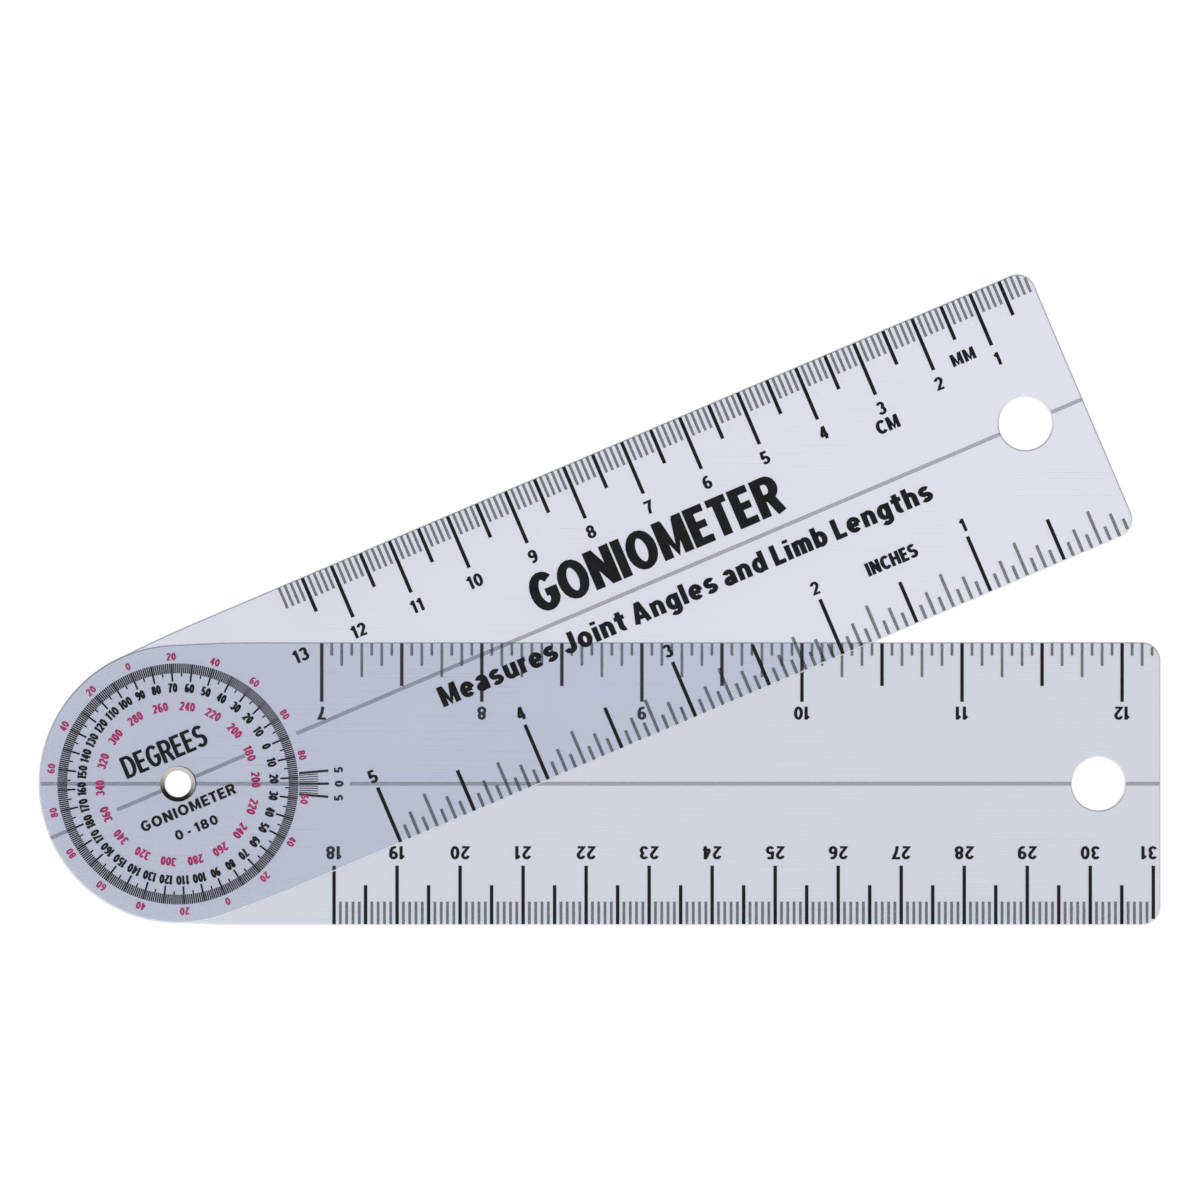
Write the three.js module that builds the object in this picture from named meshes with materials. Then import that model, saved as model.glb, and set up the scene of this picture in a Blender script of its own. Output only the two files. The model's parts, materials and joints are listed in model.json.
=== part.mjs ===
// A clear plastic goniometer with two flat ruler arms that turn on one hollow metal eyelet.
//
// Units are millimetres, and +Z is up. The origin is the middle of the lower arm's flat underside.
// +X runs along the lower arm, from the pivot to its square end. The upper arm lies on top of the
// lower arm, and is drawn opened anticlockwise by REST_ANGLE about the eyelet's axis.

import * as THREE from "three";

// The outline that both arms share, measured from the pivot.
const ARM_LENGTH = 178;
const ARM_WIDTH = 45;
const ROUND_END_RADIUS = 22.1;
const FLARE_LENGTH = 12.5;
const CORNER_RADIUS = 3;
const HANG_HOLE_RADIUS = 4.2;
const HANG_HOLE_INSET = 9.9;
const PIVOT_HOLE_RADIUS = 2.5;

// How the two sheets are stacked.
const SHEET_THICKNESS = 1;
const SHEET_GAP = 0.3;
const REST_ANGLE = THREE.MathUtils.degToRad(23.05);

// The eyelet: a tube whose two ends are rolled out over the sheets.
const BORE_RADIUS = 2.1;
const BARREL_RADIUS = 2.4;
const RIM_RADIUS = 2.78;
const RIM_HEIGHT = 0.4;
const RIM_CLEARANCE = 0.05;

// How finely curves are cut into facets.
const ARC_SEGMENTS = 32;
const RIM_SEGMENTS = 10;
const LATHE_SEGMENTS = 64;

const SQUARE_END_X = ARM_LENGTH - ROUND_END_RADIUS;
const PIVOT_X = ROUND_END_RADIUS - ARM_LENGTH / 2;
const UPPER_SHEET_Z = SHEET_THICKNESS + SHEET_GAP;
const STACK_TOP_Z = UPPER_SHEET_Z + SHEET_THICKNESS;

const clearPlastic = new THREE.MeshStandardMaterial({
  color: 0xd5d9e3,
  roughness: 0.12,
  metalness: 0,
  transparent: true,
  opacity: 0.35,
});

const platedMetal = new THREE.MeshStandardMaterial({
  color: 0xb7b3a2,
  roughness: 0.3,
  metalness: 1,
});

// The arm's edge: a round end about the pivot, which widens slightly into two straight ruled edges.
function armOutline() {
  const halfWidth = ARM_WIDTH / 2;
  const cornerX = SQUARE_END_X - CORNER_RADIUS;
  const cornerY = halfWidth - CORNER_RADIUS;
  const quarterTurn = Math.PI / 2;
  const flareControlX = FLARE_LENGTH / 2;

  const outline = new THREE.Shape();
  outline.moveTo(FLARE_LENGTH, -halfWidth);
  outline.lineTo(cornerX, -halfWidth);
  outline.absarc(cornerX, -cornerY, CORNER_RADIUS, -quarterTurn, 0, false);
  outline.lineTo(SQUARE_END_X, cornerY);
  outline.absarc(cornerX, cornerY, CORNER_RADIUS, 0, quarterTurn, false);
  outline.lineTo(FLARE_LENGTH, halfWidth);
  outline.quadraticCurveTo(flareControlX, halfWidth, 0, ROUND_END_RADIUS);
  outline.absarc(0, 0, ROUND_END_RADIUS, quarterTurn, 3 * quarterTurn, false);
  outline.quadraticCurveTo(flareControlX, -halfWidth, FLARE_LENGTH, -halfWidth);
  return outline;
}

function roundHole(centreX, radius) {
  const hole = new THREE.Path();
  hole.absarc(centreX, 0, radius, 0, 2 * Math.PI, true);
  return hole;
}

// One die-cut sheet, lying on z = 0 with the pivot at its own origin.
function armSheet() {
  const outline = armOutline();
  outline.holes.push(roundHole(0, PIVOT_HOLE_RADIUS));
  outline.holes.push(roundHole(SQUARE_END_X - HANG_HOLE_INSET, HANG_HOLE_RADIUS));
  return new THREE.ExtrudeGeometry(outline, {
    depth: SHEET_THICKNESS,
    bevelEnabled: false,
    curveSegments: ARC_SEGMENTS,
  });
}

// Points along one rolled rim, from startAngle through half a turn clockwise. Its seat is at seatZ.
function rimPoints(seatZ, startAngle) {
  const middleRadius = (BORE_RADIUS + RIM_RADIUS) / 2;
  const halfSpan = (RIM_RADIUS - BORE_RADIUS) / 2;
  const points = [];
  for (let i = 0; i <= RIM_SEGMENTS; i += 1) {
    const angle = startAngle - (Math.PI * i) / RIM_SEGMENTS;
    const radius = middleRadius + halfSpan * Math.cos(angle);
    const height = seatZ + RIM_HEIGHT * Math.sin(angle);
    points.push(new THREE.Vector2(radius, height));
  }
  return points;
}

// The eyelet's cross-section goes up the bore, over the top rim, down the barrel and round again.
function eyelet() {
  const topSeat = STACK_TOP_Z + RIM_CLEARANCE;
  const bottomSeat = -RIM_CLEARANCE;
  const section = [
    ...rimPoints(topSeat, Math.PI),
    new THREE.Vector2(BARREL_RADIUS, topSeat),
    new THREE.Vector2(BARREL_RADIUS, bottomSeat),
    ...rimPoints(bottomSeat, 0),
  ];
  section.push(section[0].clone());
  section.reverse();
  const turned = new THREE.LatheGeometry(section, LATHE_SEGMENTS);
  return turned.rotateX(Math.PI / 2);
}

function namedMesh(name, geometry, material) {
  const mesh = new THREE.Mesh(geometry, material);
  mesh.name = name;
  return mesh;
}

const goniometer = new THREE.Group();

const pivot = new THREE.Group();
pivot.position.x = PIVOT_X;
goniometer.add(pivot);

pivot.add(namedMesh("lower_arm", armSheet(), clearPlastic.clone()));
pivot.add(namedMesh("pivot_eyelet", eyelet(), platedMetal));

const openedArm = new THREE.Group();
openedArm.position.z = UPPER_SHEET_Z;
openedArm.rotation.z = REST_ANGLE;
openedArm.add(namedMesh("upper_arm", armSheet(), clearPlastic.clone()));
pivot.add(openedArm);

export default goniometer;
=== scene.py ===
"""The looks of a clear plastic goniometer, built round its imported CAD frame.

Each arm is drawn in its own frame: the origin is on the pivot's axis, +X (called u) runs along the arm to
its square end, +Y (called v) runs across it, and z = 0 is the arm's underside. Lengths are in metres,
written as millimetres times MM.
"""

import json
import math

import bmesh
import bpy
from mathutils import Matrix, Vector
from mathutils.geometry import tessellate_polygon


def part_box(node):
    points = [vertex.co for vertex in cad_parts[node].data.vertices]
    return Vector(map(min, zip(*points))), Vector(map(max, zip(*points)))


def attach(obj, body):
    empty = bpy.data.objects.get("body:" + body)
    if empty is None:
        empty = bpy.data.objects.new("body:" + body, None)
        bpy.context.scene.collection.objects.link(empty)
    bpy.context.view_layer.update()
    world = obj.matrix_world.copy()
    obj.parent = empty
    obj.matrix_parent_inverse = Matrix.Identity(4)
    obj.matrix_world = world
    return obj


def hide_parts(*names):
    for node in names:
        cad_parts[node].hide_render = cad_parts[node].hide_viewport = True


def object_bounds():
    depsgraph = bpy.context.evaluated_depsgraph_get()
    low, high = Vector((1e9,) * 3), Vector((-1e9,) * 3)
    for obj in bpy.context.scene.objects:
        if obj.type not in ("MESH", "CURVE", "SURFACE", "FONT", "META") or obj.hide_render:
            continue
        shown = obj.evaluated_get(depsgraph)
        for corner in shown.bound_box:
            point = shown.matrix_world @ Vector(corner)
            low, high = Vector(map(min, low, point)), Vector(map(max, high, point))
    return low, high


MM = 0.001
INCH = 25.4 * MM

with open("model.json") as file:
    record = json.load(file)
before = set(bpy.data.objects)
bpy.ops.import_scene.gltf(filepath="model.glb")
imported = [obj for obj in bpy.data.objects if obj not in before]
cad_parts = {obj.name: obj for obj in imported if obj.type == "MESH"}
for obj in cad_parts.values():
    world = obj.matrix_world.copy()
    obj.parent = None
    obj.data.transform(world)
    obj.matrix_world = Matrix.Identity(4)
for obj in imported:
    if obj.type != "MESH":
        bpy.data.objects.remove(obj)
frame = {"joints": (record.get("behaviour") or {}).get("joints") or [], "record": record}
cad_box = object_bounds()

# ---------------------------------------------------------------------------------------------------------
# Places and sizes that come from the CAD frame
# ---------------------------------------------------------------------------------------------------------

lower_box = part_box("lower_arm")
upper_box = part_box("upper_arm")
eyelet_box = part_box("pivot_eyelet")
PIVOT = Vector(frame["joints"][0]["pos_m"])
MOUNTS = {mount["name"]: Vector(mount["pos_m"]) for mount in frame["record"]["mounts"]}
UPPER_SEAT = MOUNTS["upper_hang_hole_face"] - PIVOT
OPENING_ANGLE = math.atan2(UPPER_SEAT.y, UPPER_SEAT.x)

THICKNESS = lower_box[1].z - lower_box[0].z
SQUARE_END = lower_box[1].x - PIVOT.x
ROUND_END = PIVOT.x - lower_box[0].x
HALF_WIDTH = (lower_box[1].y - lower_box[0].y) / 2
RIM_RADIUS = (eyelet_box[1].x - eyelet_box[0].x) / 2

# The rest of the outline, as the CAD has it. The long edges swell into the round end over the flare.
FLARE_LENGTH = 12.5 * MM
CORNER_RADIUS = 3 * MM
HANG_HOLE_RADIUS = 4.2 * MM
HANG_HOLE_U = SQUARE_END - 9.9 * MM
PIVOT_HOLE_RADIUS = 2.5 * MM
BORE_RADIUS = 2.1 * MM
BARREL_RADIUS = 2.4 * MM
AT_EYELET = (-RIM_RADIUS, RIM_RADIUS)

# What only the looks need: the sheets' softened edges, and the eyelet's funnel, highest circle, thin lip,
# gap to the sheets and the angle from which its edges look sharp.
EDGE_ROUNDING = 0.28 * MM
FUNNEL_ANGLE = math.radians(27)
CROWN_RADIUS = 2.8 * MM
LIP_THICKNESS = 0.17 * MM
RIM_SEAT_GAP = 0.05 * MM
SHARP_EDGE = math.radians(40)

# How finely the round shapes are cut.
ROUND_STEPS = 120
CORNER_STEPS = 14
FLARE_STEPS = 12
HOLE_STEPS = 96
ROUNDING_STEPS = 4
EYELET_STEPS = 128
ROLL_STEPS = 14

# ---------------------------------------------------------------------------------------------------------
# Printed marks
# ---------------------------------------------------------------------------------------------------------

# Ink stands this high on a sheet and reaches this far into it. Strokes that cross differ by a rank step.
INK_HEIGHT = 0.03 * MM
INK_SINK = 0.01 * MM
RANK_STEP = 0.001 * MM

# The limit on how far a stroke's corner reaches out, and how close two points are to count as one.
SHARPEST_MITRE = 0.6
SAME_POINT = 1e-7

# Line widths.
UPPER_BOLD_LINE = 0.59 * MM
LOWER_BOLD_LINE = 0.56 * MM
MILLIMETRE_LINE = 0.46 * MM
UPPER_INCH_LINE = 0.52 * MM
LOWER_INCH_LINE = 0.45 * MM
CENTRE_LINE = 0.62 * MM
EDGE_MARGIN = 0.2 * MM

# A stroke's width as a share of a capital's height, and how much thinner the level strokes are.
MEDIUM, BOLD, HEAVY = 0.18, 0.25, 0.28
LEVEL_STROKE = 0.78

# The gaps between letters and between words, in hundredths of a capital's height.
LETTER_GAP = 11
WORD_GAP = 26

# A letter's bends are cut into steps of about this many degrees.
BEND_STEP = 18
FEWEST_BEND_STEPS = 3

# How far from the arm's long edge each kind of tick reaches. Inches are keyed by the part of an inch.
UPPER_CM_TICKS = {"mm": 3.7 * MM, "half": 5.95 * MM, "cm": 9.05 * MM}
UPPER_INCH_TICKS = {16: 2.55 * MM, 8: 4.05 * MM, 4: 5.8 * MM, 2: 7.15 * MM, 1: 9.6 * MM}
LOWER_INCH_TICKS = {16: 2.2 * MM, 8: 3.8 * MM, 4: 5.6 * MM, 2: 7.0 * MM, 1: 9.5 * MM}
LOWER_CM_TICKS = {"mm": 3.8 * MM, "half": 6.4 * MM, "cm": 9.5 * MM}

# The rulers' numerals, and where the scales start and end. The upper arm's start at its square end.
RULER_DIGIT_HEIGHT = 2.1 * MM
UPPER_CM_LABEL_V = 11.15 * MM
UPPER_INCH_LABEL_V = -11.0 * MM
LOWER_INCH_LABEL_V = 11.2 * MM
LOWER_CM_LABEL_V = -10.95 * MM
LAST_LABEL_SHIFT = -0.65 * MM
UPPER_LAST_MM = 129
UPPER_LAST_CM_LABEL = 13
UPPER_LAST_INCH = 5
LOWER_FIRST_CM, LOWER_LAST_CM = 18, 31
LOWER_FIRST_INCH, LOWER_LAST_INCH = 7, 12
TICKS_PAST_LAST_INCH = 3
LOWER_CM_START = -155.3 * MM
LOWER_INCH_START = -155.05 * MM

# The dial: radii, tick widths, and the numerals' heights and the length each digit takes.
DIAL_RING_OUT = 19.1 * MM
DIAL_RING_IN = 17.55 * MM
DIAL_FIVE_IN = 17.0 * MM
DIAL_TEN_IN = 16.25 * MM
DIAL_LINE = 0.225 * MM
DIAL_TEN_LINE = 0.3 * MM
BLACK_NUMERAL_RADIUS = 15.25 * MM
BLACK_NUMERAL_HEIGHT = 1.45 * MM
BLACK_DIGIT_LENGTH = 0.7 * MM
INNER_NUMERAL_RADIUS = 12.35 * MM
INNER_NUMERAL_HEIGHT = 1.42 * MM
INNER_DIGIT_LENGTH = 0.8 * MM
OUTER_NUMERAL_RADIUS = 20.2 * MM
OUTER_NUMERAL_HEIGHT = 1.2 * MM
OUTER_DIGIT_LENGTH = 0.74 * MM

# Where the upper arm's centre line stops and starts again inside and outside the dial.
DIAL_LINE_OUT = 11.6 * MM
DIAL_LINE_BACK = 10.5 * MM
LINE_RESTART = 20.4 * MM

# The pointer fan on the lower arm.
FAN_DEGREES = 5
FAN_IN = 19.2 * MM
FAN_SHORT_OUT = 22.2 * MM
FAN_LONG_OUT = 23.9 * MM
FAN_LONG_LINE = 0.4 * MM
FAN_SHORT_LINE = 0.15 * MM
FAN_LABEL_RADIUS = 25.5 * MM
FAN_LABEL_HEIGHT = 1.4 * MM
FAN_LABEL_CLEAR = 27.2 * MM

# Words on the upper arm: the text, its middle (u, v), its height and length in millimetres, its weight.
UNIT_WORDS = (
    ("MM", (141.0, 13.6), 2.0, 4.0, HEAVY),
    ("CM", (125.8, 8.4), 2.2, 3.8, HEAVY),
    ("INCHES", (118.0, -11.6), 2.2, 8.6, HEAVY),
)
PLAIN_WORDS = (
    ("GONIOMETER", (84.5, 5.35), 6.3, 42.5, BOLD),
    ("Measures Joint Angles and Limb Lengths", (85.8, -3.7), 3.3, 84.5, HEAVY),
    ("DEGREES", (0, 5.6), 3.7, 14.0, MEDIUM),
    ("GONIOMETER", (0, -4.1), 1.7, 16.2, HEAVY),
    ("0 - 180", (0, -7.5), 1.55, 7.3, HEAVY),
)

# ---------------------------------------------------------------------------------------------------------
# Colours, as linear values, and other looks
# ---------------------------------------------------------------------------------------------------------

# The sheets' tints beside the pivot and at the square end.
UPPER_TINT_NEAR = (0.897, 0.904, 0.948)
UPPER_TINT_FAR = (0.934, 0.944, 0.985)
LOWER_TINT_NEAR = (0.875, 0.893, 0.93)
LOWER_TINT_FAR = (0.872, 0.89, 0.927)
HAZE_COLOUR = (0.75, 0.78, 1.0)
HAZE = 0.02
SCRATCH_HAZE = 0.05
SHEET_ROUGHNESS = 0.05
SCRATCH_ROUGHNESS = 0.1
MOTTLE_SHARE = 0.25
WAVE_STRENGTH = 0.12
WAVE_DEPTH = 0.4 * MM
PLASTIC_IOR = 1.53

# The cut edges: the light that comes through and off them, and how much they mirror.
EDGE_TINT = (0.92, 0.94, 0.98)
EDGE_BODY = (0.62, 0.67, 0.8)
EDGE_MIRROR = 0.48
EDGE_BODY_SHARE = 0.22
EDGE_ROUGHNESS = 0.18

BLACK_INK = (0.006, 0.006, 0.009)
MAGENTA_INK = (0.48, 0.045, 0.18)
# Where the ink is thin, its colour is this many times as bright, and lifted by this much.
THIN_INK_GAIN = 1.5
THIN_INK_LIFT = 0.006
# The share of the light that the fine lines and the centre lines stop.
FAINT_COVER = 0.74
PALE_COVER = 0.46
DENSE_INK_ROUGHNESS, THIN_INK_ROUGHNESS = 0.32, 0.5
INK_IOR = 1.36
# How deep the fine grain of the inks and of the cut edges is.
GRAIN_DEPTH = 0.01 * MM

NICKEL = (0.5, 0.49, 0.46)
WORN_BRASS = (0.5, 0.43, 0.3)
MOST_WEAR = 0.5
METAL_SMOOTHEST, METAL_ROUGHEST = 0.12, 0.24
ROLLING_LINES = 9000.0
ROLLING_LINE_DEPTH = 0.012 * MM
BLACK = (0.0, 0.0, 0.0)
WHITE = (1.0, 1.0, 1.0)

# Hairline scratches, in sets: a turn about z, and how many lie side by side in a metre.
SCRATCHES = ((0.35, 5200), (-0.8, 4300), (1.35, 6100))
SCRATCHES_ALONG = 28

# ---------------------------------------------------------------------------------------------------------
# Floor, light and camera
# ---------------------------------------------------------------------------------------------------------

FLOOR_COLOUR = (0.35, 0.35, 0.35)
FLOOR_GLOW = 0.84
# Where the floor is seen through the sheets it glows less: painted shade under the sheets, standing in for
# the light they hold back.
UNDER_SHEET_SHADE_GLOW = 0.705
FLOOR_SIZE = 6.0
FLOOR_GAP = 0.02 * MM

# The light all round, and what mirrors show: a room that is bright on one side and changes over the middle
# of the way to the other, with an even patch straight above.
WORLD_STRENGTH = 0.3
BACKDROP_STRENGTH = 0.98
BRIGHT_SIDE = (-0.2, -0.98, 0.0)
BRIGHT_SIDE_STRENGTH = 1.15
DARK_SIDE_STRENGTH = 0.03
SIDE_CHANGE = 0.45
OVERHEAD_START, OVERHEAD_FULL = 0.95, 0.99

SUN_STRENGTH = 0.85
SUN_SPREAD = math.radians(14)
SUN_TILT = (math.radians(1), math.radians(2), 0)

# Camera lens and sensor in millimetres, and the picture's width as a share of the object's.
LENS = 200
SENSOR = 36
FRAME_SHARE = 1.068
FARTHEST_SEEN = 10.0
MOST_CLEAR_LAYERS = 16


# ---------------------------------------------------------------------------------------------------------
# Small helpers
# ---------------------------------------------------------------------------------------------------------

def arc(centre, radius, start, end, steps):
    """Points on a circle from one angle to another, both ends included."""
    points = []
    for i in range(steps + 1):
        angle = start + (end - start) * i / steps
        points.append((centre[0] + radius * math.cos(angle), centre[1] + radius * math.sin(angle)))
    return points


def arm_matrix(angle, bottom_z):
    """Where an arm's own frame sits in the part's frame."""
    place = Matrix.Translation((PIVOT.x, PIVOT.y, bottom_z))
    return place @ Matrix.Rotation(angle, 4, "Z")


def mesh_object(name, vertices, faces, matrix, body, materials):
    """A mesh piece whose points are moved by matrix. It rides on a body and has a finish's slot."""
    mesh = bpy.data.meshes.new(name)
    mesh.from_pydata(vertices, [], faces)
    mesh.transform(matrix)
    edit = bmesh.new()
    edit.from_mesh(mesh)
    bmesh.ops.recalc_face_normals(edit, faces=edit.faces)
    edit.to_mesh(mesh)
    edit.free()
    made = bpy.data.objects.new(name, mesh)
    bpy.context.scene.collection.objects.link(made)
    for material in materials:
        mesh.materials.append(material)
    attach(made, body)
    return made


# ---------------------------------------------------------------------------------------------------------
# Materials
# ---------------------------------------------------------------------------------------------------------

def new_material(name):
    material = bpy.data.materials.new(name)
    material.use_nodes = True
    material.node_tree.nodes.clear()
    return material


def add(material, kind, inputs=None, **settings):
    """A shader node whose inputs are plain values or come from other nodes' outputs."""
    tree = material.node_tree
    made = tree.nodes.new("ShaderNode" + kind)
    for key, value in settings.items():
        setattr(made, key, value)
    for key, value in (inputs or {}).items():
        if isinstance(value, bpy.types.NodeSocket):
            tree.links.new(value, made.inputs[key])
        else:
            made.inputs[key].default_value = value
    return made


def maths(material, operation, first, second, clamp=False):
    inputs = {0: first, 1: second}
    return add(material, "Math", inputs, operation=operation, use_clamp=clamp).outputs[0]


def mix_colours(material, factor, first, second):
    """A blend of two colours, which the Mix node takes in its sockets 6 and 7."""
    inputs = {"Factor": factor, 6: first, 7: second}
    return add(material, "Mix", inputs, data_type="RGBA").outputs[2]


def mix_values(material, factor, first, second):
    """A blend of two numbers, which the Mix node takes in its sockets 2 and 3."""
    inputs = {"Factor": factor, 2: first, 3: second}
    return add(material, "Mix", inputs, data_type="FLOAT").outputs[0]


def mix_shaders(material, factor, first, second):
    return add(material, "MixShader", {0: factor, 1: first, 2: second}).outputs[0]


def rgba(colour):
    return (*colour, 1.0)


def scaled_coordinates(material, scale, turn=0.0):
    """The object's own coordinates, turned about z and multiplied by scale, which is per metre."""
    place = add(material, "TexCoord").outputs["Object"]
    inputs = {"Vector": place, "Rotation": (0, 0, turn), "Scale": scale}
    return add(material, "Mapping", inputs).outputs[0]


def noise(material, scale, detail=2.0, roughness=0.5, turn=0.0):
    """Smooth noise from 0 to 1, with about scale bumps per metre along each axis."""
    inputs = {
        "Vector": scaled_coordinates(material, scale, turn),
        "Scale": 1.0,
        "Detail": detail,
        "Roughness": roughness,
    }
    return add(material, "TexNoise", inputs).outputs[0]


def remapped(material, value, low, high, to_low, to_high):
    """The value moved from one range to another, and held at its ends."""
    inputs = {0: value, 1: low, 2: high, 3: to_low, 4: to_high}
    return add(material, "MapRange", inputs, clamp=True).outputs[0]


def hairline_scratches(material):
    """A mask of sparse, long, fine scratches in three directions, strongest in worn patches."""
    total = None
    for turn, across in SCRATCHES:
        lines = noise(material, (SCRATCHES_ALONG, across, 1), 0.0, 0.5, turn)
        mask = remapped(material, lines, 0.7, 0.78, 0.0, 1.0)
        total = mask if total is None else maths(material, "ADD", total, mask, clamp=True)
    patches = remapped(material, noise(material, (45, 45, 45), 2.0), 0.45, 0.7, 0.1, 1.0)
    return maths(material, "MULTIPLY", total, patches)


def outside_mask(material):
    """1 where a face is seen from outside the solid, 0 from inside it."""
    inside = add(material, "NewGeometry").outputs["Backfacing"]
    return maths(material, "SUBTRACT", 1.0, inside)


def finish_material(material, surface):
    tree = material.node_tree
    output = tree.nodes.new("ShaderNodeOutputMaterial")
    tree.links.new(surface, output.inputs["Surface"])
    return material


def from_pivot(material):
    """The place of a point measured from the pivot's axis."""
    place = add(material, "TexCoord").outputs["Object"]
    centre = (PIVOT.x, PIVOT.y, 0)
    return add(material, "VectorMath", {0: place, 1: centre}, operation="SUBTRACT").outputs[0]


def clear_sheet_material(name, angle, near_tint, far_tint):
    """A polished clear sheet: tinted see-through, a little bluish haze, hairline scratches and gloss.

    The tint changes from the pivot to the square end of an arm that points along this angle."""
    material = new_material(name)
    direction = (math.cos(angle), math.sin(angle), 0)
    inputs = {0: from_pivot(material), 1: direction}
    along = add(material, "VectorMath", inputs, operation="DOT_PRODUCT").outputs["Value"]
    share = remapped(material, along, 0.0, SQUARE_END, 0.0, 1.0)
    mottle = noise(material, (22, 40, 40), 2.0)
    share = maths(material, "ADD", share, maths(material, "MULTIPLY", mottle, MOTTLE_SHARE))
    tint = mix_colours(material, share, rgba(near_tint), rgba(far_tint))
    clear = add(material, "BsdfTransparent", {"Color": tint}).outputs[0]

    scratches = hairline_scratches(material)
    haze = add(material, "BsdfDiffuse", {"Color": rgba(HAZE_COLOUR)}).outputs[0]
    cloud = remapped(material, noise(material, (90, 90, 90), 3.0), 0.3, 0.7, 0.85, 1.15)
    haze_share = maths(material, "MULTIPLY", cloud, HAZE)
    haze_share = maths(material, "ADD", haze_share, maths(material, "MULTIPLY", scratches, SCRATCH_HAZE))
    body = mix_shaders(material, haze_share, clear, haze)

    waves = noise(material, (55, 70, 70), 1.0)
    inputs = {"Strength": WAVE_STRENGTH, "Distance": WAVE_DEPTH, "Height": waves}
    bump = add(material, "Bump", inputs).outputs[0]
    roughness = maths(material, "MULTIPLY", scratches, SCRATCH_ROUGHNESS)
    roughness = maths(material, "ADD", roughness, SHEET_ROUGHNESS)
    gloss = add(material, "BsdfGlossy", {"Roughness": roughness, "Normal": bump}).outputs[0]
    mirror = add(material, "Fresnel", {"IOR": PLASTIC_IOR}).outputs[0]
    mirror = maths(material, "MULTIPLY", mirror, outside_mask(material))
    return finish_material(material, mix_shaders(material, mirror, body, gloss))


def cut_edge_material(name):
    """The die-cut edge: light that runs inside the sheet comes out, and the room shows as in a mirror."""
    material = new_material(name)
    clear = add(material, "BsdfTransparent", {"Color": rgba(EDGE_TINT)}).outputs[0]
    streaks = noise(material, (900, 900, 5200), 2.0)
    shade = remapped(material, streaks, 0.3, 0.7, 0.8, 1.2)
    colour = mix_colours(material, shade, rgba(BLACK), rgba(EDGE_BODY))
    frosted = add(material, "BsdfDiffuse", {"Color": colour}).outputs[0]
    bump = add(material, "Bump", {"Strength": 0.2, "Distance": GRAIN_DEPTH, "Height": streaks}).outputs[0]
    mirror = add(material, "BsdfGlossy", {"Roughness": EDGE_ROUGHNESS, "Normal": bump}).outputs[0]
    outside = outside_mask(material)
    body = mix_shaders(material, maths(material, "MULTIPLY", outside, EDGE_BODY_SHARE), clear, frosted)
    mirror_share = maths(material, "MULTIPLY", outside, EDGE_MIRROR)
    return finish_material(material, mix_shaders(material, mirror_share, body, mirror))


def ink_material(name, colour, cover=1.0):
    """Screen-printed ink: satin, with a faint mesh texture and uneven density.

    Cover is the share of the light that it stops, and a thin ink lets the rest through."""
    material = new_material(name)
    density = remapped(material, noise(material, (700, 700, 700), 3.0), 0.3, 0.7, 0.0, 1.0)
    thin = tuple(THIN_INK_GAIN * channel + THIN_INK_LIFT for channel in colour)
    shade = mix_colours(material, density, rgba(colour), rgba(thin))
    grain = noise(material, (7000, 7000, 7000), 1.0)
    bump = add(material, "Bump", {"Strength": 0.25, "Distance": GRAIN_DEPTH, "Height": grain}).outputs[0]
    roughness = remapped(material, density, 0.0, 1.0, DENSE_INK_ROUGHNESS, THIN_INK_ROUGHNESS)
    inputs = {"Base Color": shade, "Roughness": roughness, "IOR": INK_IOR, "Normal": bump}
    ink = add(material, "BsdfPrincipled", inputs).outputs[0]
    clear = add(material, "BsdfTransparent").outputs[0]
    share = maths(material, "MULTIPLY", outside_mask(material), cover)
    return finish_material(material, mix_shaders(material, share, clear, ink))


def plated_metal_material(name):
    """Nickel-plated brass with fine lines from the rolling tool, worn towards brass in random patches."""
    material = new_material(name)
    parts = add(material, "SeparateXYZ", {0: from_pivot(material)})
    radius = maths(material, "SQRT", maths(
        material, "ADD",
        maths(material, "POWER", parts.outputs[0], 2.0),
        maths(material, "POWER", parts.outputs[1], 2.0),
    ), 0.0)
    ring = add(material, "CombineXYZ", {"X": radius, "Z": parts.outputs[2]}).outputs[0]
    inputs = {"Vector": ring, "Scale": ROLLING_LINES, "Detail": 2.0}
    lines = add(material, "TexNoise", inputs).outputs[0]
    blotches = noise(material, (1300, 1300, 1300), 3.0)
    wear = remapped(material, blotches, 0.52, 0.72, 0.0, MOST_WEAR)
    colour = mix_colours(material, wear, rgba(NICKEL), rgba(WORN_BRASS))
    inputs = {"Strength": 0.35, "Distance": ROLLING_LINE_DEPTH, "Height": lines}
    bump = add(material, "Bump", inputs).outputs[0]
    roughness = remapped(material, blotches, 0.3, 0.7, METAL_SMOOTHEST, METAL_ROUGHEST)
    inputs = {"Base Color": colour, "Metallic": 1.0, "Roughness": roughness, "Normal": bump}
    return finish_material(material, add(material, "BsdfPrincipled", inputs).outputs[0])


# ---------------------------------------------------------------------------------------------------------
# The two sheets
# ---------------------------------------------------------------------------------------------------------

def arm_outline(inset):
    """The arm's outline, moved inwards by inset, anticlockwise."""
    half_width = HALF_WIDTH - inset
    round_radius = ROUND_END - inset
    corner_radius = CORNER_RADIUS - inset
    corner_u = SQUARE_END - CORNER_RADIUS
    corner_v = HALF_WIDTH - CORNER_RADIUS
    quarter = math.pi / 2
    points = arc((corner_u, -corner_v), corner_radius, -quarter, 0, CORNER_STEPS)
    points += arc((corner_u, corner_v), corner_radius, 0, quarter, CORNER_STEPS)
    flare = []
    for i in range(FLARE_STEPS):
        share = i / FLARE_STEPS
        u = FLARE_LENGTH * ((1 - share) ** 2 + share * (1 - share))
        v = half_width + (round_radius - half_width) * share ** 2
        flare.append((u, v))
    points += flare
    points += arc((0, 0), round_radius, quarter, 3 * quarter, ROUND_STEPS)
    points += [(u, -v) for u, v in reversed(flare)]
    return points


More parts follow.
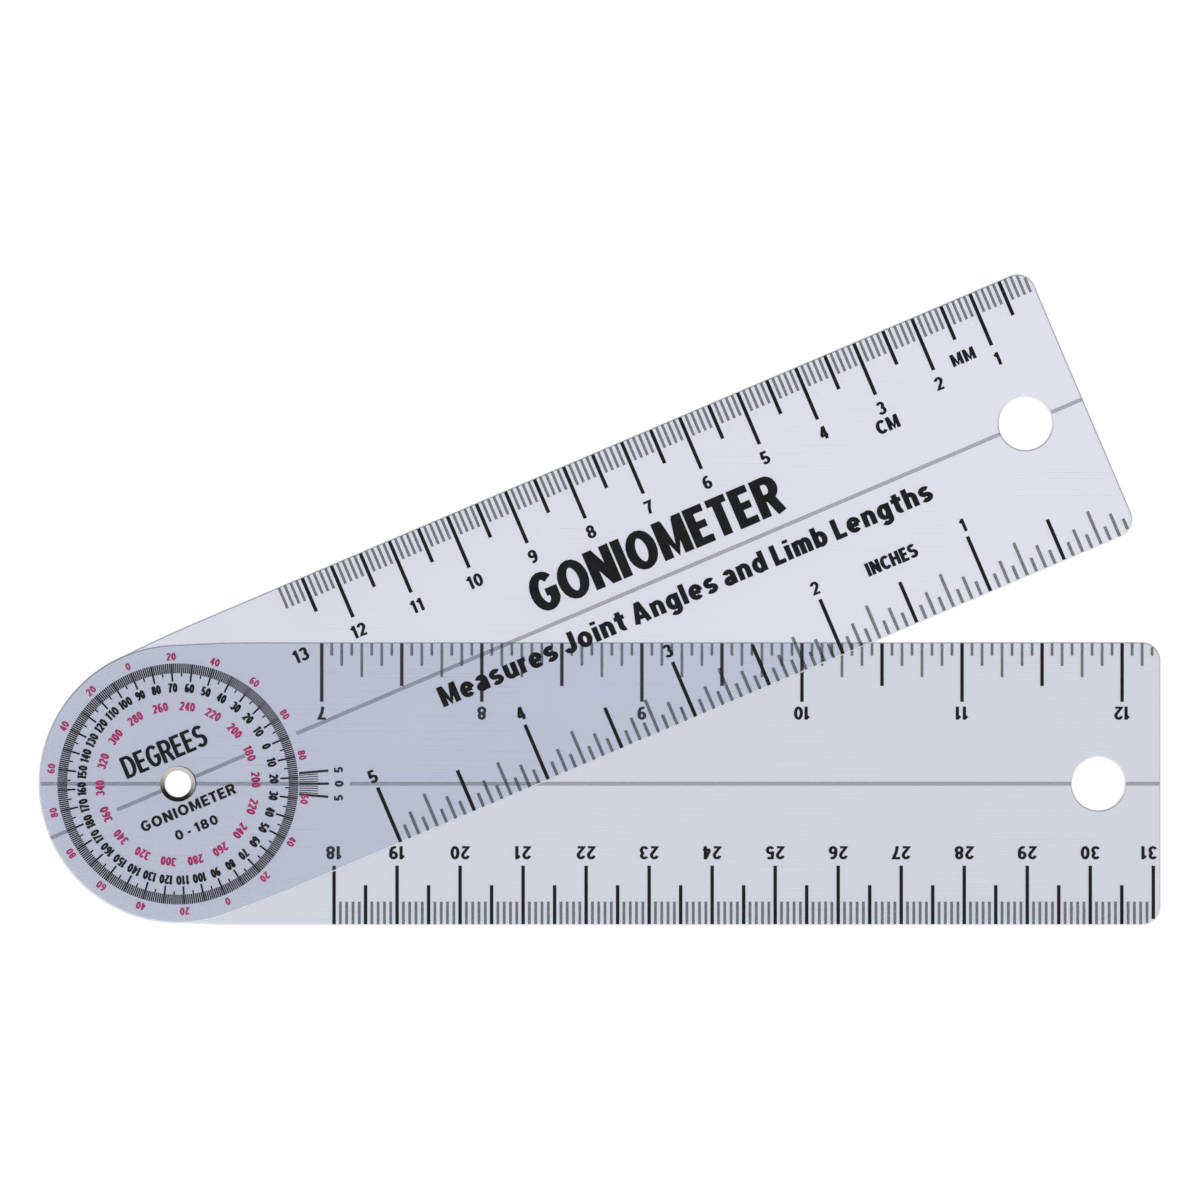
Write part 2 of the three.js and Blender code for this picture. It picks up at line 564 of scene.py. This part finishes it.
def hole_outline(centre_u, radius, inset):
    """A round hole's outline, grown by inset, clockwise."""
    return arc((centre_u, 0), radius + inset, 2 * math.pi, 0, HOLE_STEPS)[:-1]


def rounded_levels():
    """How far the outline is inset at each height, going up the sheet's rounded edge."""
    levels = []
    for i in range(ROUNDING_STEPS + 1):
        angle = math.pi / 2 * i / ROUNDING_STEPS
        inset = EDGE_ROUNDING * (1 - math.sin(angle))
        height = EDGE_ROUNDING * (1 - math.cos(angle))
        levels.append((inset, height))
    return levels + [(inset, THICKNESS - height) for inset, height in reversed(levels)]


def sheet_loops(inset):
    return [
        arm_outline(inset),
        hole_outline(0, PIVOT_HOLE_RADIUS, inset),
        hole_outline(HANG_HOLE_U, HANG_HOLE_RADIUS, inset),
    ]


def sheet_piece(name, node, matrix, body, materials):
    """One die-cut sheet with softly rounded edges. Its walls take the second material."""
    vertices = []
    rings = []
    for inset, height in rounded_levels():
        level = []
        for loop in sheet_loops(inset):
            first = len(vertices)
            vertices += [(u, v, height) for u, v in loop]
            level.append(range(first, len(vertices)))
        rings.append(level)
    walls = []
    for low, high in zip(rings, rings[1:]):
        for below, above in zip(low, high):
            count = len(below)
            for i in range(count):
                j = (i + 1) % count
                walls.append((below[i], below[j], above[j], above[i]))
    flat_loops = [[Vector((u, v, 0)) for u, v in loop] for loop in sheet_loops(EDGE_ROUNDING)]
    bottom_ids = [i for loop in rings[0] for i in loop]
    top_ids = [i for loop in rings[-1] for i in loop]
    caps = []
    flat_points = [point for loop in flat_loops for point in loop]
    for a, b, c in tessellate_polygon(flat_loops):
        turn = (flat_points[b] - flat_points[a]).cross(flat_points[c] - flat_points[a]).z
        if turn < 0:
            b, c = c, b
        caps.append((top_ids[a], top_ids[b], top_ids[c]))
        caps.append((bottom_ids[a], bottom_ids[c], bottom_ids[b]))
    made = mesh_object(name, vertices, walls + caps, matrix, body, materials)
    for polygon in made.data.polygons:
        is_wall = polygon.index < len(walls)
        polygon.use_smooth = is_wall
        polygon.material_index = 1 if is_wall else 0
    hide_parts(node)
    return made


# ---------------------------------------------------------------------------------------------------------
# The eyelet
# ---------------------------------------------------------------------------------------------------------

def roll_section(seat_z, up):
    """The curled end of the tube, from the bore over the crown to the lip and back under it.

    up is 1 for the top end and -1 for the bottom end. Points are (radius, z)."""
    crown_height = abs((eyelet_box[1].z if up > 0 else eyelet_box[0].z) - seat_z)
    span = RIM_RADIUS - CROWN_RADIUS
    start = math.pi / 2 + math.atan(math.tan(FUNNEL_ANGLE) * span / crown_height)
    roll = arc((0, 0), 1.0, start, 0, ROLL_STEPS)
    points = [(CROWN_RADIUS + span * x, seat_z + up * crown_height * y) for x, y in roll]
    funnel_top = points[0]
    funnel_depth = (funnel_top[0] - BORE_RADIUS) * math.tan(FUNNEL_ANGLE)
    points.insert(0, (BORE_RADIUS, funnel_top[1] - up * funnel_depth))
    inner_radius = RIM_RADIUS - LIP_THICKNESS
    inner_middle = (BARREL_RADIUS + inner_radius) / 2
    inner_span = (inner_radius - BARREL_RADIUS) / 2
    inner_height = crown_height - LIP_THICKNESS
    inner = arc((0, 0), 1.0, 0, math.pi, ROLL_STEPS // 2)
    points += [(inner_middle + inner_span * x, seat_z + up * inner_height * y) for x, y in inner]
    return points


def eyelet_piece(material):
    """A tube rolled outwards at both ends, turned about the pivot's axis."""
    top = roll_section(upper_box[1].z + RIM_SEAT_GAP, 1)
    bottom = roll_section(lower_box[0].z - RIM_SEAT_GAP, -1)
    section = top + bottom[::-1]
    count = len(section)
    vertices = []
    for i in range(EYELET_STEPS):
        angle = 2 * math.pi * i / EYELET_STEPS
        for radius, z in section:
            vertices.append((radius * math.cos(angle), radius * math.sin(angle), z))
    faces = []
    for i in range(EYELET_STEPS):
        near = i * count
        far = (i + 1) % EYELET_STEPS * count
        for j in range(count):
            k = (j + 1) % count
            faces.append((near + j, near + k, far + k, far + j))
    place = Matrix.Translation((PIVOT.x, PIVOT.y, 0))
    made = mesh_object("eyelet_rolled", vertices, faces, place, "fixed_arm", [material])
    for polygon in made.data.polygons:
        polygon.use_smooth = True
    made.data.set_sharp_from_angle(angle=SHARP_EDGE)
    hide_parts("pivot_eyelet")
    return made


# ---------------------------------------------------------------------------------------------------------
# Lettering: a plain rounded sans, drawn with strokes
# ---------------------------------------------------------------------------------------------------------

def bend(x, y, across, up, start, end):
    """Points round an ellipse, from one angle in degrees to another."""
    steps = max(FEWEST_BEND_STEPS, round(abs(end - start) / BEND_STEP))
    points = []
    for i in range(steps + 1):
        angle = math.radians(start + (end - start) * i / steps)
        points.append((x + across * math.cos(angle), y + up * math.sin(angle)))
    return points


# The middle line of each stroke, in hundredths of the height of a capital.
LETTERS = {
    "0": [bend(31, 50, 22, 41, 0, 360)],
    "1": [[(36, 0), (36, 100)], [(13, 74), (36, 89)]],
    "2": [bend(31, 69, 21, 22, 172, -38) + [(11, 9), (56, 9)]],
    "3": [bend(30, 72, 20, 19, 160, -90), bend(30, 31, 22, 22, 90, -160)],
    "4": [[(42, 0), (42, 100)], [(39, 95), (8, 30)], [(3, 28), (60, 28)]],
    "5": [[(53, 91), (17, 91), (13, 50)] + bend(31, 31, 22, 22, 130, -155)],
    "6": [bend(32, 31, 21, 22, 0, 360), bend(37, 50, 26, 41, 60, 180) + [(11, 31)]],
    "7": [[(5, 91), (55, 91), (35, 45), (27, 0)]],
    "8": [bend(31, 71, 19, 20, 0, 360), bend(31, 30, 22, 21, 0, 360)],
    "9": [bend(30, 69, 21, 22, 0, 360), bend(25, 50, 26, 41, -120, 0) + [(51, 69)]],
    "-": [[(8, 37), (36, 37)]],
    "A": [[(5, 0), (32, 93), (40, 93), (67, 0)], [(16, 29), (56, 29)]],
    "C": [bend(39, 50, 30, 41, 42, 318)],
    "D": [[(9, 9), (32, 9)] + bend(34, 50, 29, 41, -90, 90) + [(32, 91), (9, 91), (9, 9)]],
    "E": [[(57, 91), (10, 91), (10, 9), (59, 9)], [(10, 51), (53, 51)]],
    "G": [bend(39, 50, 30, 41, 42, 325) + [(64, 46), (40, 46)]],
    "H": [[(10, 0), (10, 100)], [(62, 0), (62, 100)], [(10, 52), (62, 52)]],
    "I": [[(10, 0), (10, 100)]],
    "J": [[(45, 100)] + bend(26, 28, 19, 19, 0, -175)],
    "L": [[(10, 100), (10, 9), (56, 9)]],
    "M": [[(9, 0), (9, 100)], [(75, 0), (75, 100)], [(12, 93), (42, 14), (72, 93)]],
    "N": [[(10, 0), (10, 100)], [(63, 0), (63, 100)], [(12, 93), (61, 7)]],
    "O": [bend(41, 50, 32, 41, 0, 360)],
    "R": [[(10, 0), (10, 100)], [(10, 91)] + bend(38, 69, 21, 22, 90, -90) + [(10, 47)],
          [(40, 46), (60, 0)]],
    "S": [bend(33, 71, 23, 20, 32, 255) + bend(33, 30, 24, 21, 80, -152)],
    "T": [[(2, 91), (64, 91)], [(33, 91), (33, 0)]],
    "a": [bend(28, 46, 18, 20, 155, 0) + [(46, 0)], bend(25, 21, 16, 13, 0, 360)],
    "b": [[(9, 0), (9, 100)], bend(31, 36, 21, 28, 0, 360)],
    "c": [bend(31, 36, 22, 28, 45, 315)],
    "d": [[(53, 0), (53, 100)], bend(31, 36, 21, 28, 0, 360)],
    "e": [bend(31, 36, 22, 28, 0, 316), [(11, 35), (55, 35)]],
    "g": [bend(31, 36, 21, 28, 0, 360), [(53, 73), (53, 0)] + bend(32, -2, 21, 18, 0, -150)],
    "h": [[(9, 0), (9, 100)], bend(29, 44, 20, 21, 180, 0) + [(49, 0)]],
    "i": [[(9, 0), (9, 73)], [(9, 84), (9, 100)]],
    "l": [[(9, 0), (9, 100)]],
    "m": [[(9, 0), (9, 73)], bend(26, 46, 17, 19, 180, 0) + [(43, 0)],
          bend(60, 46, 17, 19, 180, 0) + [(77, 0)]],
    "n": [[(9, 0), (9, 73)], bend(29, 44, 20, 21, 180, 0) + [(49, 0)]],
    "o": [bend(32, 36, 23, 28, 0, 360)],
    "r": [[(9, 0), (9, 73)], bend(32, 38, 22, 26, 180, 80)],
    "s": [bend(28, 50, 18, 15, 30, 255) + bend(28, 22, 19, 14, 80, -152)],
    "t": [[(21, 95)] + bend(35, 22, 14, 13, 180, 290), [(-4, 66), (48, 66)]],
    "u": [[(9, 73)] + bend(29, 29, 20, 21, 180, 360), [(49, 73), (49, 0)]],
}


def letter_reach(strokes, width):
    """The lowest and highest x that a letter's strokes of this width cover."""
    lowest, highest = math.inf, -math.inf
    for stroke in strokes:
        for start, end in zip(stroke, stroke[1:]):
            step = Vector(end) - Vector(start)
            spread = width / 2 * abs(step.y) / step.length
            lowest = min(lowest, start[0] - spread, end[0] - spread)
            highest = max(highest, start[0] + spread, end[0] + spread)
    return lowest, highest


def lettering(text, weight):
    """The strokes of a line of text about the middle of its capitals, and its length.

    Units are hundredths of the height of a capital."""
    strokes = []
    reach = 0.0
    for letter in text:
        if letter == " ":
            reach += WORD_GAP
            continue
        lowest, highest = letter_reach(LETTERS[letter], 100 * weight)
        for rank, stroke in enumerate(LETTERS[letter]):
            strokes.append((rank, [(x + reach - lowest, y - 50) for x, y in stroke]))
        reach += highest - lowest + LETTER_GAP
    length = reach - LETTER_GAP
    strokes = [(rank, [(x - length / 2, y) for x, y in stroke]) for rank, stroke in strokes]
    return strokes, length


# ---------------------------------------------------------------------------------------------------------
# Printing
# ---------------------------------------------------------------------------------------------------------

class Print:
    """Marks in one ink on one arm. Each stroke is a thin closed solid on the sheet's top face."""

    def __init__(self):
        self.vertices = []
        self.faces = []

    def stroke(self, points, width, rank=0, upright=None):
        """A ribbon along a line of (u, v) points, which is a ring if it ends where it starts.

        Strokes that cross have different ranks, so that no two of their faces lie in one plane. A letter's
        upright direction, if given, makes its level strokes the thinner ones."""
        points = [Vector(point) for point in points]
        ring = (points[0] - points[-1]).length < SAME_POINT
        if ring:
            points.pop()
        count = len(points)
        first = len(self.vertices)
        low = THICKNESS - INK_SINK - rank * RANK_STEP
        high = THICKNESS + INK_HEIGHT + rank * RANK_STEP
        for i, point in enumerate(points):
            here = i if ring or i < count - 1 else i - 1
            before = i - 1 if ring or i > 0 else i
            ahead = (points[(here + 1) % count] - points[here]).normalized()
            behind = (points[(before + 1) % count] - points[before]).normalized()
            along = (ahead + behind).normalized()
            reach = width / 2 / max(along.dot(ahead), SHARPEST_MITRE)
            side = Vector((-along.y, along.x)) * reach
            if upright:
                side -= upright * upright.dot(side) * (1 - LEVEL_STROKE)
            left, right = point + side, point - side
            self.vertices += [(*left, low), (*right, low), (*right, high), (*left, high)]
        for i in range(count if ring else count - 1):
            near = first + 4 * i
            far = first + 4 * ((i + 1) % count)
            for j in range(4):
                k = (j + 1) % 4
                self.faces.append((near + j, near + k, far + k, far + j))
        if not ring:
            last = first + 4 * (count - 1)
            self.faces.append((first, first + 1, first + 2, first + 3))
            self.faces.append((last, last + 1, last + 2, last + 3))

    def spoke(self, angle, inner, outer, width):
        """A stroke that points away from the pivot."""
        cos, sin = math.cos(angle), math.sin(angle)
        self.stroke([(inner * cos, inner * sin), (outer * cos, outer * sin)], width)

    def words(self, text, centre, height, weight=BOLD, turn=0.0, length=None):
        """Lettering whose capitals have this height, centred on a point and turned about it.

        If length is given, the letters are widened or narrowed to it."""
        strokes, full_length = lettering(text, weight)
        scale_v = height / 100
        scale_u = length / full_length if length else scale_v
        cos, sin = math.cos(turn), math.sin(turn)
        for rank, stroke in strokes:
            line = [(x * scale_u, y * scale_v) for x, y in stroke]
            line = [(centre[0] + x * cos - y * sin, centre[1] + x * sin + y * cos) for x, y in line]
            self.stroke(line, weight * height, rank, Vector((-sin, cos)))

    def piece(self, name, matrix, body, material):
        return mesh_object(name, self.vertices, self.faces, matrix, body, [material])


def edge_tick(marks, u, side, length, width):
    """A tick that starts at the arm's long edge on one side, which is +1 or -1."""
    edge = HALF_WIDTH
    past_corner = u + width / 2 - (SQUARE_END - CORNER_RADIUS)
    if past_corner > 0:
        edge -= CORNER_RADIUS - math.sqrt(CORNER_RADIUS ** 2 - past_corner ** 2)
    marks.stroke([(u, side * (edge - EDGE_MARGIN)), (u, side * (HALF_WIDTH - length))], width)


def centimetre_tick(marks, fine_marks, u, side, millimetre, lengths, bold_width):
    if millimetre % 10 == 0:
        edge_tick(marks, u, side, lengths["cm"], bold_width)
    elif millimetre % 5 == 0:
        edge_tick(marks, u, side, lengths["half"], bold_width)
    else:
        edge_tick(fine_marks, u, side, lengths["mm"], MILLIMETRE_LINE)


def inch_tick(marks, fine_marks, u, side, sixteenth, lengths, bold_width, fine_width):
    part = 16 // math.gcd(sixteenth, 16)
    if part <= 2:
        edge_tick(marks, u, side, lengths[part], bold_width)
    else:
        edge_tick(fine_marks, u, side, lengths[part], fine_width)


def placed_words(marks, table):
    for text, (u, v), height, length, weight in table:
        marks.words(text, (u * MM, v * MM), height * MM, weight, length=length * MM)


def upper_rulers(marks, fine_marks):
    """A centimetre ruler along +v and an inch ruler along -v, both from the square end."""
    for millimetre in range(1, UPPER_LAST_MM + 1):
        u = SQUARE_END - millimetre * MM
        centimetre_tick(marks, fine_marks, u, 1, millimetre, UPPER_CM_TICKS, UPPER_BOLD_LINE)
    for centimetre in range(1, UPPER_LAST_CM_LABEL + 1):
        place = (SQUARE_END - centimetre * 10 * MM, UPPER_CM_LABEL_V)
        marks.words(str(centimetre), place, RULER_DIGIT_HEIGHT, BOLD)
    for sixteenth in range(1, UPPER_LAST_INCH * 16 + 1):
        u = SQUARE_END - sixteenth * INCH / 16
        inch_tick(marks, fine_marks, u, -1, sixteenth, UPPER_INCH_TICKS, UPPER_BOLD_LINE, UPPER_INCH_LINE)
    for inch in range(1, UPPER_LAST_INCH + 1):
        place = (SQUARE_END - inch * INCH, UPPER_INCH_LABEL_V)
        marks.words(str(inch), place, RULER_DIGIT_HEIGHT, BOLD)
    placed_words(marks, UNIT_WORDS)


def lower_rulers(marks, fine_marks):
    """The rulers carried on from the upper arm's: inches along +v and centimetres along -v.

    The numerals stand the other way up, to be read with the arms opened flat."""
    for sixteenth in range(LOWER_FIRST_INCH * 16, LOWER_LAST_INCH * 16 + TICKS_PAST_LAST_INCH + 1):
        u = LOWER_INCH_START + sixteenth * INCH / 16
        inch_tick(marks, fine_marks, u, 1, sixteenth, LOWER_INCH_TICKS, LOWER_BOLD_LINE, LOWER_INCH_LINE)
    for inch in range(LOWER_FIRST_INCH, LOWER_LAST_INCH + 1):
        place = (LOWER_INCH_START + inch * INCH, LOWER_INCH_LABEL_V)
        marks.words(str(inch), place, RULER_DIGIT_HEIGHT, BOLD, math.pi)
    for millimetre in range(LOWER_FIRST_CM * 10, LOWER_LAST_CM * 10 + 1):
        u = LOWER_CM_START + millimetre * MM
        centimetre_tick(marks, fine_marks, u, -1, millimetre, LOWER_CM_TICKS, LOWER_BOLD_LINE)
    for centimetre in range(LOWER_FIRST_CM, LOWER_LAST_CM + 1):
        shift = LAST_LABEL_SHIFT if centimetre == LOWER_LAST_CM else 0.0
        place = (LOWER_CM_START + centimetre * 10 * MM + shift, LOWER_CM_LABEL_V)
        marks.words(str(centimetre), place, RULER_DIGIT_HEIGHT, BOLD, math.pi)


def centre_line(marks, *breaks):
    """The pale line along the arm's middle, from its round end to its square end.

    It is broken at the eyelet, at the hang hole and at each other (start, end) given, in order."""
    hole_edge = HANG_HOLE_RADIUS + EDGE_MARGIN
    gaps = [*breaks, (HANG_HOLE_U - hole_edge, HANG_HOLE_U + hole_edge)]
    start = EDGE_MARGIN - ROUND_END
    for gap_start, gap_end in gaps:
        marks.stroke([(start, 0), (gap_start, 0)], CENTRE_LINE)
        start = gap_end
    marks.stroke([(start, 0), (SQUARE_END - EDGE_MARGIN, 0)], CENTRE_LINE)


def dial_ticks(marks):
    """A tick for each degree, longer at each five and ten."""
    for degree in range(360):
        angle = math.radians(degree)
        if degree % 10 == 0:
            marks.spoke(angle, DIAL_TEN_IN, DIAL_RING_OUT, DIAL_TEN_LINE)
        elif degree % 5 == 0:
            marks.spoke(angle, DIAL_FIVE_IN, DIAL_RING_OUT, DIAL_LINE)
        else:
            marks.spoke(angle, DIAL_RING_IN, DIAL_RING_OUT, DIAL_LINE)


def dial_numeral(marks, value, degree, radius, height, digit_length):
    """A numeral on the dial with its top away from the pivot, at a fixed length for each digit."""
    angle = math.radians(degree)
    place = (radius * math.cos(angle), radius * math.sin(angle))
    digits = str(value)
    marks.words(digits, place, height, BOLD, angle - math.pi / 2, length=digit_length * len(digits))


def degrees_from_arm(degree):
    """The angle between a direction on the dial and the arm, whichever way round is shorter."""
    return min(degree, 360 - degree)


def black_dial_numerals(marks):
    """From 0 along the arm to 180 behind it, both ways round."""
    for degree in range(0, 360, 10):
        value = degrees_from_arm(degree)
        dial_numeral(
            marks, value, degree, BLACK_NUMERAL_RADIUS, BLACK_NUMERAL_HEIGHT, BLACK_DIGIT_LENGTH
        )


def magenta_dial_numerals(marks):
    """An inner ring from 180 to 360, and an outer ring that counts from 0 at a right angle."""
    for degree in range(0, 360, 20):
        value = 180 + degrees_from_arm(degree)
        dial_numeral(
            marks, value, degree, INNER_NUMERAL_RADIUS, INNER_NUMERAL_HEIGHT, INNER_DIGIT_LENGTH
        )
    for degree in range(10, 360, 20):
        value = abs(90 - degrees_from_arm(degree))
        dial_numeral(
            marks, value, degree, OUTER_NUMERAL_RADIUS, OUTER_NUMERAL_HEIGHT, OUTER_DIGIT_LENGTH
        )


def pointer_fan(marks):
    """The lower arm's pointer, which reads the dial: five degrees to each side of its centre line."""
    for degree in range(-FAN_DEGREES, FAN_DEGREES + 1):
        angle = math.radians(degree)
        if degree % FAN_DEGREES != 0:
            marks.spoke(angle, FAN_IN, FAN_SHORT_OUT, FAN_SHORT_LINE)
            continue
        marks.spoke(angle, FAN_IN, FAN_LONG_OUT, FAN_LONG_LINE)
        place = (FAN_LABEL_RADIUS * math.cos(angle), FAN_LABEL_RADIUS * math.sin(angle))
        marks.words(str(abs(degree)), place, FAN_LABEL_HEIGHT, HEAVY, math.pi / 2)


# ---------------------------------------------------------------------------------------------------------
# The object
# ---------------------------------------------------------------------------------------------------------

black_ink = ink_material("black_ink", BLACK_INK)
faint_ink = ink_material("faint_ink", BLACK_INK, FAINT_COVER)
pale_ink = ink_material("pale_ink", BLACK_INK, PALE_COVER)
magenta_ink = ink_material("magenta_ink", MAGENTA_INK)
metal = plated_metal_material("nickel_plated_brass")
edge = cut_edge_material("cut_edge")
upper_plastic = clear_sheet_material("upper_clear_sheet", OPENING_ANGLE, UPPER_TINT_NEAR, UPPER_TINT_FAR)
lower_plastic = clear_sheet_material("lower_clear_sheet", 0.0, LOWER_TINT_NEAR, LOWER_TINT_FAR)

lower_matrix = arm_matrix(0.0, lower_box[0].z)
upper_matrix = arm_matrix(OPENING_ANGLE, upper_box[0].z)

sheet_piece("lower_sheet", "lower_arm", lower_matrix, "fixed_arm", [lower_plastic, edge])
sheet_piece("upper_sheet", "upper_arm", upper_matrix, "moving_arm", [upper_plastic, edge])
eyelet_piece(metal)

lower_black = Print()
lower_faint = Print()
lower_rulers(lower_black, lower_faint)
lower_black.piece("lower_rulers", lower_matrix, "fixed_arm", black_ink)
lower_faint.piece("lower_fine_lines", lower_matrix, "fixed_arm", faint_ink)

lower_middle = Print()
centre_line(lower_middle, AT_EYELET, (FAN_IN, FAN_LABEL_CLEAR))
lower_middle.piece("lower_centre_line", lower_matrix, "fixed_arm", pale_ink)

fan = Print()
pointer_fan(fan)
fan.piece("lower_pointer_fan", lower_matrix, "fixed_arm", black_ink)

upper_black = Print()
upper_faint = Print()
upper_rulers(upper_black, upper_faint)
upper_black.piece("upper_rulers", upper_matrix, "moving_arm", black_ink)
upper_faint.piece("upper_fine_lines", upper_matrix, "moving_arm", faint_ink)

upper_middle = Print()
centre_line(upper_middle, (-DIAL_RING_OUT, -DIAL_LINE_BACK), AT_EYELET, (DIAL_LINE_OUT, LINE_RESTART))
upper_middle.piece("upper_centre_line", upper_matrix, "moving_arm", pale_ink)

dial = Print()
dial_ticks(dial)
black_dial_numerals(dial)
dial.piece("dial_black", upper_matrix, "moving_arm", black_ink)

second_dial = Print()
magenta_dial_numerals(second_dial)
second_dial.piece("dial_magenta", upper_matrix, "moving_arm", magenta_ink)

words = Print()
placed_words(words, PLAIN_WORDS)
words.piece("upper_lettering", upper_matrix, "moving_arm", black_ink)

# ---------------------------------------------------------------------------------------------------------
# The stage
# ---------------------------------------------------------------------------------------------------------

def floor_piece():
    """A white light table, the usual bed for photographing clear things.

    It glows a little less where it is seen through the sheets, which rest on it: painted shade under the
    sheets, put into the floor's glow."""
    material = new_material("pale_floor")
    depth = add(material, "LightPath").outputs["Transparent Depth"]
    # Painted shade: the glow drops wherever the ray has come through a sheet.
    painted_sheet_shade = maths(material, "GREATER_THAN", depth, 0.5)
    glow = mix_values(material, painted_sheet_shade, FLOOR_GLOW, UNDER_SHEET_SHADE_GLOW)
    grain = remapped(material, noise(material, (40, 40, 40), 3.0), 0.3, 0.7, 0.99, 1.0)
    colour = mix_colours(material, grain, rgba(BLACK), rgba(FLOOR_COLOUR))
    inputs = {
        "Base Color": colour,
        "Roughness": 0.9,
        "Specular IOR Level": 0.1,
        "Emission Color": rgba(WHITE),
        "Emission Strength": glow,
    }
    finish_material(material, add(material, "BsdfPrincipled", inputs).outputs[0])
    half = FLOOR_SIZE / 2
    z = eyelet_box[0].z - FLOOR_GAP
    corners = [(-half, -half, z), (half, -half, z), (half, half, z), (-half, half, z)]
    mesh = bpy.data.meshes.new("floor")
    mesh.from_pydata(corners, [], [(0, 1, 2, 3)])
    mesh.materials.append(material)
    made = bpy.data.objects.new("floor", mesh)
    bpy.context.scene.collection.objects.link(made)


def studio_light():
    """Even soft light, a broad lamp overhead, and for reflections a room that is bright on one side."""
    world = bpy.data.worlds.new("studio")
    bpy.context.scene.world = world
    world.use_nodes = True
    world.node_tree.nodes.clear()
    direction = add(world, "TexCoord").outputs["Generated"]
    inputs = {0: direction, 1: BRIGHT_SIDE}
    leaning = add(world, "VectorMath", inputs, operation="DOT_PRODUCT").outputs["Value"]
    side = remapped(
        world, leaning, -SIDE_CHANGE, SIDE_CHANGE, DARK_SIDE_STRENGTH, BRIGHT_SIDE_STRENGTH
    )
    height = add(world, "SeparateXYZ", {0: direction}).outputs[2]
    overhead = remapped(world, height, OVERHEAD_START, OVERHEAD_FULL, 0.0, 1.0)
    reflected = mix_values(world, overhead, side, WORLD_STRENGTH)
    rays = add(world, "LightPath")
    strength = mix_values(world, rays.outputs["Is Glossy Ray"], WORLD_STRENGTH, reflected)
    strength = mix_values(world, rays.outputs["Is Camera Ray"], strength, BACKDROP_STRENGTH)
    inputs = {"Color": rgba(WHITE), "Strength": strength}
    background = add(world, "Background", inputs).outputs[0]
    output = world.node_tree.nodes.new("ShaderNodeOutputWorld")
    world.node_tree.links.new(background, output.inputs["Surface"])

    lamp = bpy.data.lights.new("overhead", "SUN")
    lamp.energy = SUN_STRENGTH
    lamp.angle = SUN_SPREAD
    made = bpy.data.objects.new("overhead", lamp)
    made.rotation_euler = SUN_TILT
    made.visible_glossy = False
    bpy.context.scene.collection.objects.link(made)


def camera():
    """A long lens straight above the middle of the object, with +y up the picture."""
    low, high = cad_box
    middle = (low + high) / 2
    data = bpy.data.cameras.new("camera")
    data.lens = LENS
    data.sensor_width = SENSOR
    made = bpy.data.objects.new("camera", data)
    bpy.context.scene.collection.objects.link(made)
    distance = (high.x - low.x) * FRAME_SHARE * LENS / SENSOR
    made.location = (middle.x, middle.y, high.z + distance)
    data.clip_end = FARTHEST_SEEN
    bpy.context.scene.camera = made


floor_piece()
studio_light()
camera()
bpy.context.scene.view_settings.view_transform = "Standard"
bpy.context.scene.cycles.transparent_max_bounces = MOST_CLEAR_LAYERS
